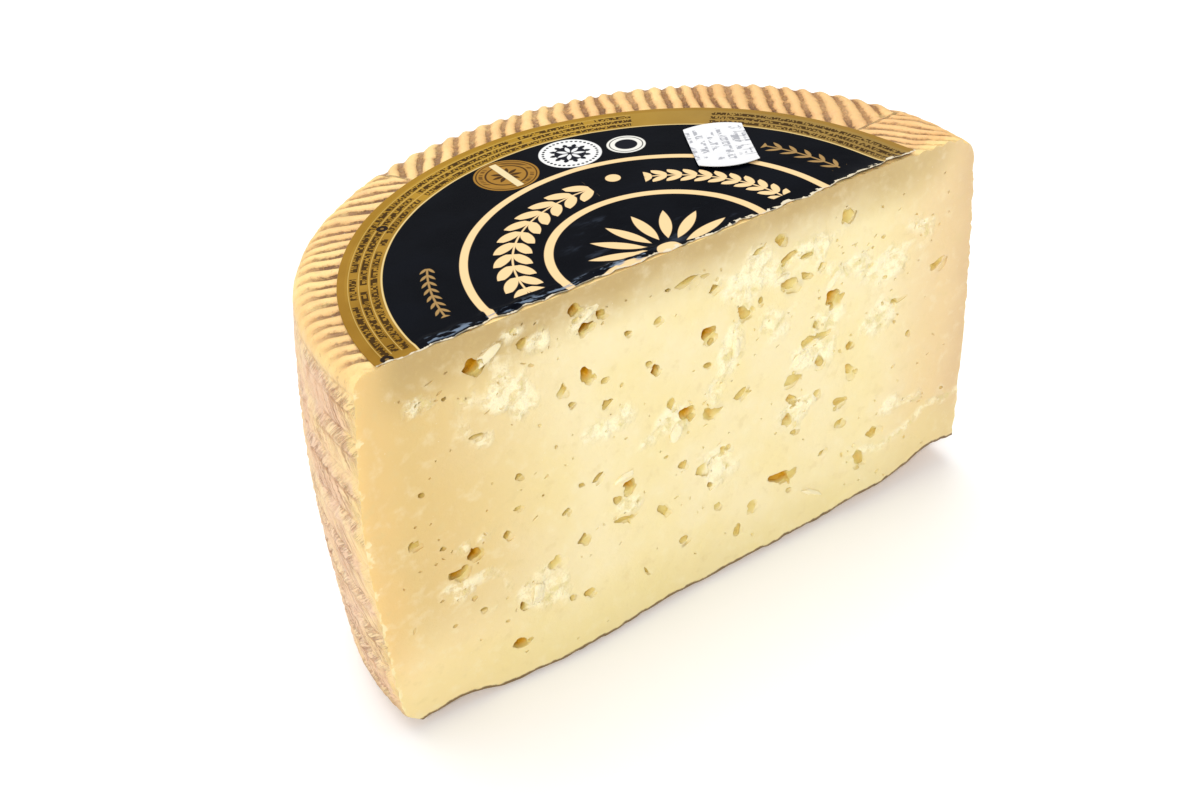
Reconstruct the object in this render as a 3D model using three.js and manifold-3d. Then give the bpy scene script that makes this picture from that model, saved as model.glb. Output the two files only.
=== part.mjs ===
// Half of a wheel of pressed, cured cheese, as cut. On top lies its round printed label, which
// the knife went through as well, and on the label a small price sticker. The rind carries the
// imprint of the mould: straight ribs, in sectors, on the flat top, and a woven zigzag around
// the wall.
//
// Millimetres, +Z up. +X runs along the cut and +Y away from it. The origin is on the surface
// that the cheese stands on, at the middle of the object's outline.

import * as THREE from 'three';
import { mergeVertices } from 'three/addons/utils/BufferGeometryUtils.js';
import Module from 'manifold-3d';

// The wheel
const WHEEL_WIDTH = 190; // along the cut, at the widest
const OVAL = 0.932; // width across the cut over width along it
const WHEEL_HEIGHT = 107.6;
const CUT_OFFSET = 12.6; // the knife passed this far in front of the wheel's centre
const WIDEST_AT = 51; // height of the widest ring
const TOP_INSET = 4.3; // the wall leans in by this much at the top
const BASE_INSET = 0.8; // and by this much at the base
const LEAN = 1.1; // the top is shifted this far to the right

// Roundings, each from the left end of the cut over the back to the right end
const SHOULDER = { left: 4.6, back: 13.6, right: 8.8 };
const BASE_ROLL_WIDTH = { left: 15, back: 20, right: 38 };
const BASE_ROLL_HEIGHT = { left: 3.6, back: 4.5, right: 6.8 };

// The mould's imprint
const RELIEF = 0.8; // height of the ribs and of the zigzag's ridges
const RIB_PITCH = 4.3;
const RIB_WIDTH = 2.2;
const RIB_DROP = 4.5; // how far down the shoulder the ribs reach
const WEAVE_ROWS = 8; // rows of the wall's zigzag
const WEAVE_STEPS = 3; // steps around the wall from one ridge to the next

// Each sector's ribs are parallel. It runs from one bearing to another about the wheel's
// centre, counted anticlockwise from +X, and its ribs run along a third.
const SECTORS = [
  { from: 119, to: 200, along: 160 },
  { from: 7, to: 119, along: 63 },
  { from: -20, to: 7, along: -48 },
];

// The label and the sticker
const LABEL_RADIUS = 77;
const LABEL_THICKNESS = 0.4;
const LABEL_SHIFT = new THREE.Vector2(-6.6, -10.5); // its centre, from the wheel's centre
const STICKER_WIDTH = 16;
const STICKER_SIDE = 21.6; // length of its straight sides
const STICKER_BOW = 2.2; // how far each short end bows out
const STICKER_THICKNESS = 0.3;
const STICKER_SHIFT = new THREE.Vector2(41.8, 33.6); // its centre, from the label's centre
const STICKER_TURN = THREE.MathUtils.degToRad(-25.5);
const GAP = 0.3; // between neighbours that touch

// The larger eyes that the knife opened: place along the cut, height, width and height of each
const EYES = [
  [-61, 97.7, 5.0, 3.7], [-48, 99, 3.6, 3.3], [-34, 101, 4.2, 3.6], [-31, 96.5, 5.2, 3.6],
  [-32, 83, 3.4, 4.8], [-39, 81.4, 3.0, 4.6], [4, 80, 5.2, 5.2], [49, 97, 4.4, 4.4],
  [30, 84, 5.6, 5.2], [45, 74, 5.8, 6.0], [-4, 58.5, 5.0, 4.6], [5, 55.5, 6.4, 4.2],
  [-22, 44.5, 5.0, 4.6], [31, 54.5, 5.6, 3.6], [31, 47, 3.6, 5.6], [-66, 46, 5.0, 4.0],
  [-72, 42.5, 6.0, 4.6], [-45, 31, 4.4, 4.4], [28, 23.5, 9.6, 4.6], [-58, 12, 4.6, 3.6],
  [55, 17, 3.6, 6.0], [82, 71, 6.0, 2.6], [-12, 32, 3.4, 5.4], [47, 39, 5.2, 3.6],
];
const EYE_DEPTH = 3;

// Fineness of the curved surfaces
const AROUND = 144;
const AROUND_COARSE = 72;
const SHOULDER_STEPS = 3;
const ROLL_STEPS = 2;

const TURN = Math.PI * 2;
const DEPTH = (WHEEL_WIDTH * OVAL) / 2 + CUT_OFFSET;
const CUT_Y = -DEPTH / 2;
const CENTRE = new THREE.Vector3(0, CUT_Y + CUT_OFFSET, 0);

const wasm = await Module();
wasm.setup();

// ---- solids

function toSolid(geometry) {
  const bare = geometry.index ? geometry.clone() : mergeVertices(geometry);
  for (const name of ['normal', 'uv', 'uv1', 'color']) bare.deleteAttribute(name);
  const merged = mergeVertices(bare, 1e-4);
  return new wasm.Manifold(new wasm.Mesh({
    numProp: 3,
    vertProperties: new Float32Array(merged.attributes.position.array),
    triVerts: new Uint32Array(merged.index.array),
  }));
}

function toGeometry(solid) {
  const mesh = solid.getMesh();
  const geometry = new THREE.BufferGeometry();
  geometry.setAttribute('position', new THREE.BufferAttribute(mesh.vertProperties, 3));
  geometry.setIndex(new THREE.BufferAttribute(mesh.triVerts, 1));
  geometry.computeVertexNormals();
  return geometry;
}

// Joins neighbours in pairs, so that no join handles many more triangles than it must
function joinAll(solids) {
  if (solids.length === 1) return solids[0];
  const half = Math.ceil(solids.length / 2);
  return joinAll(solids.slice(0, half)).add(joinAll(solids.slice(half)));
}

// Drops the slivers that a cut can leave beside a solid
function largestBody(solid) {
  return solid.decompose().reduce((a, b) => (a.volume() > b.volume() ? a : b));
}

// ---- the wheel's form

// Blends a size around the wheel, from its left end over the back to its right end
function around(size, angle) {
  const left = (1 - Math.cos(angle)) / 2;
  const right = 1 - left;
  return size.left * left * left + size.back * 2 * left * right + size.right * right * right;
}

function wallRadius(z, angle) {
  const above = z > WIDEST_AT;
  const span = above ? WHEEL_HEIGHT - WIDEST_AT : WIDEST_AT;
  const away = Math.abs(z - WIDEST_AT) / span;
  const lean = above ? LEAN * Math.cos(angle) : 0;
  return WHEEL_WIDTH / 2 - away * away * ((above ? TOP_INSET : BASE_INSET) - lean);
}

// Radius and height of each ring at one bearing, from the middle of the base up to the top's
function profile(angle) {
  const shoulder = around(SHOULDER, angle);
  const rollWidth = around(BASE_ROLL_WIDTH, angle);
  const rollHeight = around(BASE_ROLL_HEIGHT, angle);
  const points = [new THREE.Vector2(0, 0)];
  for (let i = 0; i <= ROLL_STEPS; i++) {
    const bend = (i / ROLL_STEPS) * (Math.PI / 2);
    const radius = wallRadius(rollHeight, angle) - rollWidth * (1 - Math.sin(bend));
    points.push(new THREE.Vector2(radius, rollHeight * (1 - Math.cos(bend))));
  }
  const wallTop = WHEEL_HEIGHT - shoulder;
  for (let i = 1; i < WEAVE_ROWS; i++) {
    const z = THREE.MathUtils.lerp(rollHeight, wallTop, i / WEAVE_ROWS);
    points.push(new THREE.Vector2(wallRadius(z, angle), z));
  }
  for (let i = SHOULDER_STEPS; i >= 0; i--) {
    const bend = (i / SHOULDER_STEPS) * (Math.PI / 2);
    const radius = wallRadius(wallTop, angle) - shoulder * (1 - Math.sin(bend));
    points.push(new THREE.Vector2(radius, WHEEL_HEIGHT - shoulder * (1 - Math.cos(bend))));
  }
  points.push(new THREE.Vector2(0, WHEEL_HEIGHT));
  return points;
}

const ROWS = profile(0).length;
const WALL_FIRST_ROW = ROLL_STEPS + 1;
const WALL_LAST_ROW = WALL_FIRST_ROW + WEAVE_ROWS;

// A whole wheel. The lathe gives the rings, and each bearing then gets its own profile, so the
// form is oval and rounded unevenly. inset(step, row) is how far each point lies below the
// outermost form.
function wheel(steps, inset) {
  const geometry = new THREE.LatheGeometry(profile(0), steps);
  const position = geometry.attributes.position;
  for (let i = 0; i < position.count; i++) {
    const step = Math.floor(i / ROWS) % steps;
    const row = i % ROWS;
    const angle = (step * TURN) / steps;
    const point = profile(angle)[row];
    const depth = inset(step, row);
    const radius = Math.max(point.x - depth, 0);
    position.setXYZ(
      i,
      CENTRE.x + radius * Math.cos(angle),
      CENTRE.y + radius * Math.sin(angle) * OVAL,
      row > WALL_LAST_ROW ? point.y - depth : point.y,
    );
  }
  return geometry;
}

// ---- the mould's imprint

// The body under the ribs: the top and shoulder lie lower by the relief, the base doesn't, and
// the wall's rings run in and out so that their high points line up in a zigzag
function coreInset(step, row) {
  if (row > WALL_LAST_ROW) return RELIEF;
  if (row < WALL_FIRST_ROW) return 0;
  const shift = row % 2;
  return (step - shift) % WEAVE_STEPS === 0 ? 0 : RELIEF;
}

// A lathe splits all its quads along the same diagonal. In every second row of the zigzag the
// ridge runs along the other one.
function turnDiagonals(geometry, steps) {
  const index = geometry.index;
  for (let step = 0; step < steps; step++) {
    for (let row = WALL_FIRST_ROW; row < WALL_LAST_ROW; row++) {
      if (row % 2) continue;
      const a = row + step * ROWS;
      const b = a + ROWS;
      const corners = [a, b, b + 1, a, b + 1, a + 1];
      corners.forEach((corner, i) => index.setX((step * (ROWS - 1) + row) * 6 + i, corner));
    }
  }
  return geometry;
}

const labelCentre = new THREE.Vector2(CENTRE.x, CENTRE.y).add(LABEL_SHIFT);

function bearing(x, y) {
  const angle = THREE.MathUtils.radToDeg(Math.atan2((y - CENTRE.y) / OVAL, x - CENTRE.x));
  return angle < -90 ? angle + 360 : angle;
}

function inSector(sector, x, y) {
  const angle = bearing(x, y);
  return angle > sector.from && angle <= sector.to && y > CUT_Y - RIB_PITCH;
}

// Bars along a sector's ribs, over every stretch where keep(x, y) holds
function sectorBars(sector, keep, zLow, zHigh) {
  const along = THREE.MathUtils.degToRad(sector.along);
  const forward = new THREE.Vector2(Math.cos(along), Math.sin(along));
  const aside = new THREE.Vector2(-forward.y, forward.x);
  const reach = WHEEL_WIDTH / 2 + RIB_PITCH;
  const bars = [];
  for (let offset = -reach; offset <= reach; offset += RIB_PITCH) {
    let start = null;
    for (let t = -reach; t <= reach + 1; t += 1) {
      const x = CENTRE.x + aside.x * offset + forward.x * t;
      const y = CENTRE.y + aside.y * offset + forward.y * t;
      const inside = t <= reach && inSector(sector, x, y) && keep(x, y);
      if (inside && start === null) start = t;
      if (!inside && start !== null) {
        const length = t - start;
        if (length > RIB_WIDTH) {
          const middle = start + length / 2;
          const bar = new THREE.BoxGeometry(length, RIB_WIDTH, zHigh - zLow);
          bar.rotateZ(along);
          bar.translate(
            CENTRE.x + aside.x * offset + forward.x * middle,
            CENTRE.y + aside.y * offset + forward.y * middle,
            (zLow + zHigh) / 2,
          );
          bars.push(toSolid(bar));
        }
        start = null;
      }
    }
  }
  return bars;
}

function topRibs() {
  const clearOfLabel = (x, y) => {
    return Math.hypot(x - labelCentre.x, y - labelCentre.y) > LABEL_RADIUS;
  };
  const low = WHEEL_HEIGHT - RIB_DROP;
  return SECTORS.flatMap((sector) => sectorBars(sector, clearOfLabel, low, WHEEL_HEIGHT + 1));
}

// A disc from zLow to zHigh about a point of the flat side
function disc(centre, radius, zLow, zHigh, steps) {
  const geometry = new THREE.CylinderGeometry(radius, radius, zHigh - zLow, steps);
  geometry.rotateX(Math.PI / 2);
  geometry.translate(centre.x, centre.y, (zLow + zHigh) / 2);
  return toSolid(geometry);
}

// ---- the cut and its eyes

// All that the knife took away in front of the cut
function cutAway() {
  const box = new THREE.BoxGeometry(WHEEL_WIDTH * 1.5, WHEEL_WIDTH, WHEEL_HEIGHT * 2);
  box.translate(0, CUT_Y - WHEEL_WIDTH / 2, WHEEL_HEIGHT / 2);
  return toSolid(box);
}

// An angular hollow, a little different for each eye
function eye([x, z, width, height], order) {
  const geometry = new THREE.IcosahedronGeometry(0.5, 0);
  geometry.rotateZ(order * 1.7);
  geometry.rotateX(order * 0.9);
  geometry.scale(width * 1.08, EYE_DEPTH * 2, height * 1.08);
  geometry.rotateY(Math.sin(order * 5) * 0.3);
  geometry.translate(x, CUT_Y, z);
  return toSolid(geometry);
}

// ---- the three pieces

function cheeseSolid() {
  const outermost = toSolid(wheel(AROUND_COARSE, () => 0));
  const core = toSolid(turnDiagonals(wheel(AROUND, coreInset), AROUND));
  const seatBase = WHEEL_HEIGHT - RIB_DROP;
  const seat = disc(labelCentre, LABEL_RADIUS - 0.5, seatBase, WHEEL_HEIGHT + 1, AROUND_COARSE);
  const raised = outermost.intersect(joinAll([...topRibs(), seat]));
  const half = core.add(raised).subtract(cutAway());
  return largestBody(half.subtract(joinAll(EYES.map(eye))));
}

const labelBase = WHEEL_HEIGHT + GAP;
const stickerBase = labelBase + LABEL_THICKNESS + GAP;

function labelSolid() {
  const labelTop = labelBase + LABEL_THICKNESS;
  const whole = disc(labelCentre, LABEL_RADIUS, labelBase, labelTop, AROUND_COARSE);
  return whole.subtract(cutAway());
}

function stickerGeometry() {
  const halfWidth = STICKER_WIDTH / 2;
  const halfSide = STICKER_SIDE / 2;
  const tip = halfSide + STICKER_BOW * 2;
  const outline = new THREE.Shape();
  outline.moveTo(-halfWidth, -halfSide);
  outline.quadraticCurveTo(0, -tip, halfWidth, -halfSide);
  outline.lineTo(halfWidth, halfSide);
  outline.quadraticCurveTo(0, tip, -halfWidth, halfSide);
  outline.closePath();
  return new THREE.ExtrudeGeometry(outline, {
    depth: STICKER_THICKNESS,
    bevelEnabled: false,
    curveSegments: 8,
  });
}

function piece(name, geometry, color, roughness) {
  const material = new THREE.MeshStandardMaterial({ color, roughness, metalness: 0 });
  const mesh = new THREE.Mesh(geometry, material);
  mesh.name = name;
  return mesh;
}

const cheese = piece('cheese', toGeometry(cheeseSolid()), 0xf3dfae, 0.5);
const label = piece('label', toGeometry(labelSolid()), 0x14151d, 0.3);
const sticker = piece('sticker', stickerGeometry(), 0xf4f4f2, 0.55);
sticker.position.set(labelCentre.x + STICKER_SHIFT.x, labelCentre.y + STICKER_SHIFT.y, stickerBase);
sticker.rotation.z = STICKER_TURN;

const halfWheel = new THREE.Group();
halfWheel.add(cheese, label, sticker);

export default halfWheel;
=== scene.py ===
# Half of a wheel of pressed, cured cheese, as cut, with its printed round label and a small price
# sticker. The rind carries the imprint of the mould: ribs in sectors on the two flat sides and a
# plaited pattern around the wall. The cut shows pale paste with angular eyes and torn patches.
#
# Lengths are in millimetres until a mesh is made. +X runs along the cut, +Y away from it, +Z up.
import functools
import itertools
import math

import bmesh
import bpy
import numpy as np
from mathutils import Matrix, Vector


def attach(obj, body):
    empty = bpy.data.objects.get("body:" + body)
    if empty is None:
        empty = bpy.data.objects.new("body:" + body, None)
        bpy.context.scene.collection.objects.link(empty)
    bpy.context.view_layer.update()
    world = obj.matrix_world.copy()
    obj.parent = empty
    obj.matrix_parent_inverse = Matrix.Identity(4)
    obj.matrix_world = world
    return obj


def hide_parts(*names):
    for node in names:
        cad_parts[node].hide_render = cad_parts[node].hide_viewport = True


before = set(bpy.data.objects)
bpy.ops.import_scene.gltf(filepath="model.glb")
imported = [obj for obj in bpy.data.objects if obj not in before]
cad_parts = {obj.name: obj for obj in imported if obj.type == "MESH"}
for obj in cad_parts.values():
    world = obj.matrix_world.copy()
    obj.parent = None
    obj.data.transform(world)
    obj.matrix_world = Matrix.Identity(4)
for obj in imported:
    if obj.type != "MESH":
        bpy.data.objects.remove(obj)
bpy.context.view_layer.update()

MM = 0.001
TURN = 2 * math.pi

# The wheel, as in the CAD model, but for a rounder lower edge at the left. Three sizes in brackets
# hold at the left end of the cut, at the back and at the right end.
WHEEL_WIDTH = 190
OVAL = 0.932
WHEEL_HEIGHT = 107.6
CUT_OFFSET = 12.6
WIDEST_AT = 51
TOP_INSET = 4.3
BASE_INSET = 1.8
LEAN = 1.1
SHOULDER = (4.6, 13.6, 8.8)
BASE_ROLL_WIDTH = (12, 20, 38)
BASE_ROLL_HEIGHT = (8.5, 4.5, 6.8)
CUT_Y = -(WHEEL_WIDTH * OVAL / 2 + CUT_OFFSET) / 2
CENTRE_Y = CUT_Y + CUT_OFFSET

# The mould's imprint
RIB_RELIEF = 1.05
PLAIT_RELIEF = 0.75
RIB_DROP = (2.4, 11.0, 5.0)  # how far down the shoulder the ribs reach
RIB_FADE = (3.5, 0.5, 1.5)  # and how far in from it they begin to fade
# Each sector runs between two bearings. Then come the direction and pitch of its ribs, and how
# far they wander.
SECTORS = [
    dict(start=119, end=205, along=160, pitch=4.3, wander=1.0),
    dict(start=7, end=119, along=63, pitch=4.6, wander=1.1),
    dict(start=-25, end=7, along=-48, pitch=3.3, wander=1.4),
]
UNDER_TURN = 35  # the underside has the same sectors, turned by this
SEAM_WIDTH = 1.6
RIB_NARROW = 0.75  # below 1 the crests are broad and the grooves narrow
PLAIT_BAND = 5.7  # height of one band of the plait around the wall
STRAND_PITCH = 5.0
STRAND_SLOPE = 1.1

# The label and the sticker, from the wheel's centre and the label's
LABEL_RADIUS = 77
LABEL_THICKNESS = 0.25
LABEL_CENTRE = (-6.6, CENTRE_Y - 10.5)
STICKER_SIZE = (16, 21.6)
STICKER_BOW = 2.2
STICKER_THICKNESS = 0.16
STICKER_SHIFT = (41.8, 33.6)
STICKER_TURN = math.radians(-25.5)
STICKER_CENTRE = (LABEL_CENTRE[0] + STICKER_SHIFT[0], LABEL_CENTRE[1] + STICKER_SHIFT[1])
CUT_CLEARANCE = 0.15  # of the label, from the knife's plane and from the top
STICKER_CLEARANCE = 0.85  # of the sticker from the top, over the label

# Eyes that the knife opened, the deep ones and the shallow ones: place along the cut, height,
# width and height of each
DEEP_EYES = [
    (-61, 98, 5, 4), (-34, 102, 4, 3.5), (-27, 98, 3, 3), (-31, 96.5, 5, 3.5), (-32, 83, 3.5, 4.5),
    (-12.5, 76, 3, 3.5), (-4, 59, 5, 4.5), (-22, 44.5, 4.5, 4.5), (-37, 35, 3.5, 3.5), (-67, 46, 4.5, 3.5),
    (-72, 42.5, 5.5, 4), (-67, 28, 2.5, 2), (-56, 23, 2.5, 3), (-58, 12, 4.5, 3), (3, 32.5, 2.5, 2.5),
    (45, 74, 5, 5), (4, 80, 4.5, 4.5), (31, 47.5, 3, 5), (28, 23.5, 8, 4), (-54, 54, 2.5, 1.5),
]
EYES = [
    (-48, 99, 3.5, 3), (-39, 82, 3, 4), (-37, 77, 2.5, 2), (-27, 80, 2.5, 2), (-27, 73, 4, 2.5),
    (-14, 79, 3, 2.5), (-8, 63.5, 2.5, 3.5), (-62, 79.5, 4, 2), (-53, 63, 2.5, 2), (-78, 70, 2, 1.5),
    (-69, 93, 1.5, 1.5), (-31, 52, 4.5, 2), (-36, 52, 2, 2), (-26, 42.5, 3, 3), (-24, 35, 6, 2),
    (-12, 32, 3, 5), (-41, 46, 2.5, 2.5), (-58, 47, 2.5, 3), (-82, 56.5, 3, 3), (-75, 52, 2, 2),
    (-45, 31.5, 4, 4.5), (-42, 18.5, 2, 2.5), (-37, 17, 3.5, 2.5), (-5, 43, 3, 3), (1, 38.5, 3.5, 4),
    (-6, 18, 3.5, 3), (-8, 97.5, 2, 1.5), (-11, 90, 3, 2.5), (-20, 90, 2.5, 2), (-1, 97.5, 7, 2.5),
    (6, 92.5, 4, 2.5), (49, 97, 4.5, 4.5), (27, 98, 3.5, 4.5), (20, 98, 5, 2), (29, 92, 5.5, 2.5),
    (35, 91, 4, 1.5), (40, 86, 3, 2.5), (35, 85, 3.5, 2.5), (30, 84, 5.5, 5), (82, 71, 5.5, 2.5),
    (20, 83, 2, 2.5), (15, 81.5, 5, 4), (3.5, 71, 3, 2), (41, 64.5, 6, 2), (39, 68, 2, 2.5),
    (36, 64, 4, 4), (40, 56, 4, 4), (51, 57, 2.5, 3.5), (51, 48.5, 4, 4.5), (31, 54.5, 6, 3.5),
    (48, 39.5, 5.5, 3.5), (39.5, 46, 3, 2.5), (14, 57.5, 4.5, 2.5), (5, 55.5, 6.5, 4), (30, 41, 4.5, 4),
    (48, 32.5, 3.5, 3), (32, 36.5, 3, 2), (61, 23.5, 5, 3.5), (72, 52.5, 2, 2.5), (67, 65, 5, 1.5),
    (8, 41, 4.5, 3.5), (55, 17, 3.5, 6), (42, 25.5, 3, 2), (29.5, 18, 2, 2.5), (17, 18.5, 3.5, 4.5),
    (5, 24, 2.5, 3.5), (12, 12.5, 3, 4), (-19, 14.5, 1, 3),
]
DEEP_EYES_DEPTH = 3.2
EYES_DEPTH = 1.3
PITS = 270  # small holes beside them
# Patches where the knife tore the paste: place, half width and half height
TORN = [
    (-54, 86, 9, 9), (-75, 94, 4.5, 2), (-50, 103, 4, 2), (-9, 58, 8, 5), (22, 91, 12, 7),
    (38, 88, 10, 6), (66, 78, 10, 6), (75, 86, 8, 4), (11, 72, 8, 9), (36, 60, 8, 7),
    (-70, 38, 9, 4), (-52, 26, 9, 6), (-66, 50, 6, 4), (-29, 66, 9, 4), (50, 82, 8, 4),
    (70, 30, 10, 3), (-24, 39, 9, 3), (33, 45, 7, 6), (-44, 97, 5, 3), (60, 62, 7, 5),
    (-32, 99, 6, 3), (44, 68, 9, 6), (4, 62, 6, 4), (26, 75, 8, 6), (7, 38, 7, 6),
]
# Raised flakes beside the eyes: place, length, width and turn in degrees
FLAKES = [
    (-31.5, 99.4, 7.5, 2.0, 30), (-57.5, 100.0, 6.5, 2.2, 28), (-7.5, 55, 4.6, 2.6, 60),
    (-52, 25, 6.0, 3.6, 70), (60, 80, 9.0, 1.8, 38), (12, 73, 5.0, 2.2, 75), (27, 87, 5.0, 2.0, 20),
    (37.5, 13.5, 7.5, 1.3, -35), (44, 80, 5.5, 2.0, 50), (33, 61, 5.0, 1.6, 35), (-24, 48.8, 5.0, 1.6, 15),
]
# A ledge near the right end, below which the cut stands proud: where it starts, and its height
LEDGE_FROM = 46
LEDGE_HEIGHT = 17.5
# How far the cut's lower edge is off the ground, at places along it
EDGE_LIFT = [
    (-95, 1.0), (-90, 2.8), (-84, 3.2), (-77, 3.7), (-71, 2.4), (-65, 1.4), (-50, 1.0), (-30, 1.2),
    (-20, 1.8), (0, 1.6), (16, 1.9), (25, 1.6), (40, 2.2), (55, 3.6), (64, 4.2), (74, 6.2), (81, 8.2),
    (88, 8.4), (95, 7.4),
]
EDGE_DEPTH = 20  # how far in from the cut it is off the ground
# Where the cut's lower part bulges towards the front: its middle, half width, height and depth
BULGE = (-42, 24, 26, 2.4)

# Fineness of the cheese's mesh
FINE_FROM = -14  # bearings between which the mesh is fine, the rest being cut away
FINE_TO = 194
FINE_STEP = 0.66
COARSE_COLUMNS = 24
UNDER_ROWS = 16
ROLL_ROWS = 12
WALL_ROWS = 68
SHOULDER_ROWS = 15
RIB_ROWS = 22
SEAT_ROWS = 6
SEAT_RADIUS = 66  # the top is plain inside this ring, under the label
CUT_STEP = 1.0
EDGE_STEP = 0.8
NUGGET_FACETS = 9
LARGE_BALL = 3  # subdivisions of the ball behind a large eye or a flake
SMALL_BALL = 2  # and behind a small eye or a pit
LABEL_GRID = (210, 56)
STICKER_GRID = (25, 37)
# The angles in degrees from which an edge is drawn sharp
CHEESE_SHARP = 38
PAPER_SHARP = 50

FLOOR_SIZE = 6  # half of the floor's side, in metres
# The light: the sky's strength, and the direction, strength and spread in degrees of each lamp
SKY = 0.56
KEY_LIGHT = ((-700, -800, 850), 1.58, 12)
TOP_LIGHT = ((60, 460, 900), 1.75, 60)

# The camera
CAMERA_PLACE = (-177.3, -298.2, 278.9)
CAMERA_YAW = math.radians(30.90)
CAMERA_PITCH = math.radians(35.25)
CAMERA_ROLL = math.radians(-4.57)
CAMERA_LENS = 44.21


# ---- numbers

def smooth(value, low, high):
    part = np.clip((value - low) / (high - low), 0, 1)
    return part * part * (3 - 2 * part)


class Noise:
    """Smooth random values from -1 to 1 over space, the same on each run

    Its lumps have one size, and each further layer adds finer ones. Where only two coordinates
    matter, the third is a number that keeps one use from looking like another.
    """

    SIDE = 32

    def __init__(self, seed):
        self.lattice = np.random.default_rng(seed).uniform(-1, 1, (self.SIDE,) * 3)

    def layer(self, places):
        cells = [np.floor(place).astype(int) for place in places]
        parts = [smooth(place - cell, 0, 1) for place, cell in zip(places, cells)]
        total = 0
        for corner in itertools.product((0, 1), repeat=3):
            weight = 1
            for part, side in zip(parts, corner):
                weight = weight * (part if side else 1 - part)
            index = tuple((cell + side) % self.SIDE for cell, side in zip(cells, corner))
            total = total + weight * self.lattice[index]
        return total

    def __call__(self, x, y, z, size, layers=1):
        places = np.broadcast_arrays(*(np.asarray(v, float) / size for v in (x, y, z)))
        total = 0
        for layer in range(layers):
            scale = 2.1 ** layer
            total = total + self.layer([place * scale + 5.7 * layer for place in places]) / scale
        return total


rind_noise = Noise(11)
cut_noise = Noise(12)
label_noise = Noise(13)


# ---- meshes

def add_object(name, data):
    thing = bpy.data.objects.new(name, data)
    bpy.context.collection.objects.link(thing)
    return thing


def make_object(name, points, faces, material_index=0):
    mesh = bpy.data.meshes.new(name)
    mesh.from_pydata((np.asarray(points) * MM).tolist(), [], faces)
    rig = bmesh.new()
    rig.from_mesh(mesh)
    bmesh.ops.recalc_face_normals(rig, faces=rig.faces)
    rig.to_mesh(mesh)
    rig.free()
    mesh.polygons.foreach_set("material_index", [material_index] * len(mesh.polygons))
    return add_object(name, mesh)


def points_at(x, y, z):
    return np.stack(np.broadcast_arrays(x, y, z), axis=-1)


def grid_faces(rows, columns, first=0, closed=False):
    faces = []
    for row in range(rows - 1):
        for column in range(columns if closed else columns - 1):
            beside = (column + 1) % columns
            low, high = first + row * columns, first + (row + 1) * columns
            faces.append((low + column, low + beside, high + beside, high + column))
    return faces


def closed_sheet(name, front, back, material_index=0):
    """A solid between two grids of points of the same size"""
    rows, columns, _ = front.shape
    count = rows * columns
    faces = grid_faces(rows, columns) + grid_faces(rows, columns, count)
    edge = list(range(columns))
    edge += [row * columns + columns - 1 for row in range(1, rows)]
    edge += [(rows - 1) * columns + column for column in range(columns - 2, -1, -1)]
    edge += [row * columns for row in range(rows - 2, 0, -1)]
    for here, there in zip(edge, edge[1:] + edge[:1]):
        faces.append((here, there, there + count, here + count))
    points = np.concatenate([front.reshape(-1, 3), back.reshape(-1, 3)])
    return make_object(name, points, faces, material_index)


def combine(piece, operation, others):
    for other in others:
        step = piece.modifiers.new("step", "BOOLEAN")
        step.operation = operation
        step.solver = "MANIFOLD"
        step.object = other
    shape = piece.evaluated_get(bpy.context.evaluated_depsgraph_get())
    mesh = bpy.data.meshes.new_from_object(shape)
    piece.modifiers.clear()
    piece.data = mesh
    for other in others:
        bpy.data.objects.remove(other)


def drop_crumbs(mesh):
    """Takes away all that doesn't hang together with the largest part of a mesh"""
    rig = bmesh.new()
    rig.from_mesh(mesh)
    left = set(rig.verts)
    parts = []
    while left:
        start = left.pop()
        part, front = [start], [start]
        while front:
            beside = [edge.other_vert(vertex) for vertex in front for edge in vertex.link_edges]
            front = [vertex for vertex in set(beside) if vertex in left]
            left.difference_update(front)
            part += front
        parts.append(part)
    parts.sort(key=len)
    crumbs = [vertex for part in parts[:-1] for vertex in part]
    bmesh.ops.delete(rig, geom=crumbs, context="VERTS")
    rig.to_mesh(mesh)
    rig.free()


def vertex_places(mesh):
    flat = np.empty(len(mesh.vertices) * 3)
    mesh.vertices.foreach_get("co", flat)
    return (flat.reshape(-1, 3) / MM).T


def store(mesh, **fields):
    for name, values in fields.items():
        layer = mesh.attributes.new(name, "FLOAT", "POINT")
        values = np.broadcast_to(values, len(mesh.vertices))
        layer.data.foreach_set("value", values.astype(np.float32))


def shade_smooth(mesh, sharp_angle):
    mesh.polygons.foreach_set("use_smooth", [True] * len(mesh.polygons))
    mesh.set_sharp_from_angle(angle=math.radians(sharp_angle))


# ---- the wheel's form and the mould's imprint

def around(sizes, angle):
    left = (1 - np.cos(angle)) / 2
    right = 1 - left
    return sizes[0] * left ** 2 + sizes[1] * 2 * left * right + sizes[2] * right ** 2


def wall_radius(z, angle):
    above = z > WIDEST_AT
    away = np.abs(z - WIDEST_AT) / np.where(above, WHEEL_HEIGHT - WIDEST_AT, WIDEST_AT)
    inset = np.where(above, TOP_INSET - LEAN * np.cos(angle), BASE_INSET)
    return WHEEL_WIDTH / 2 - away ** 2 * inset


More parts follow.
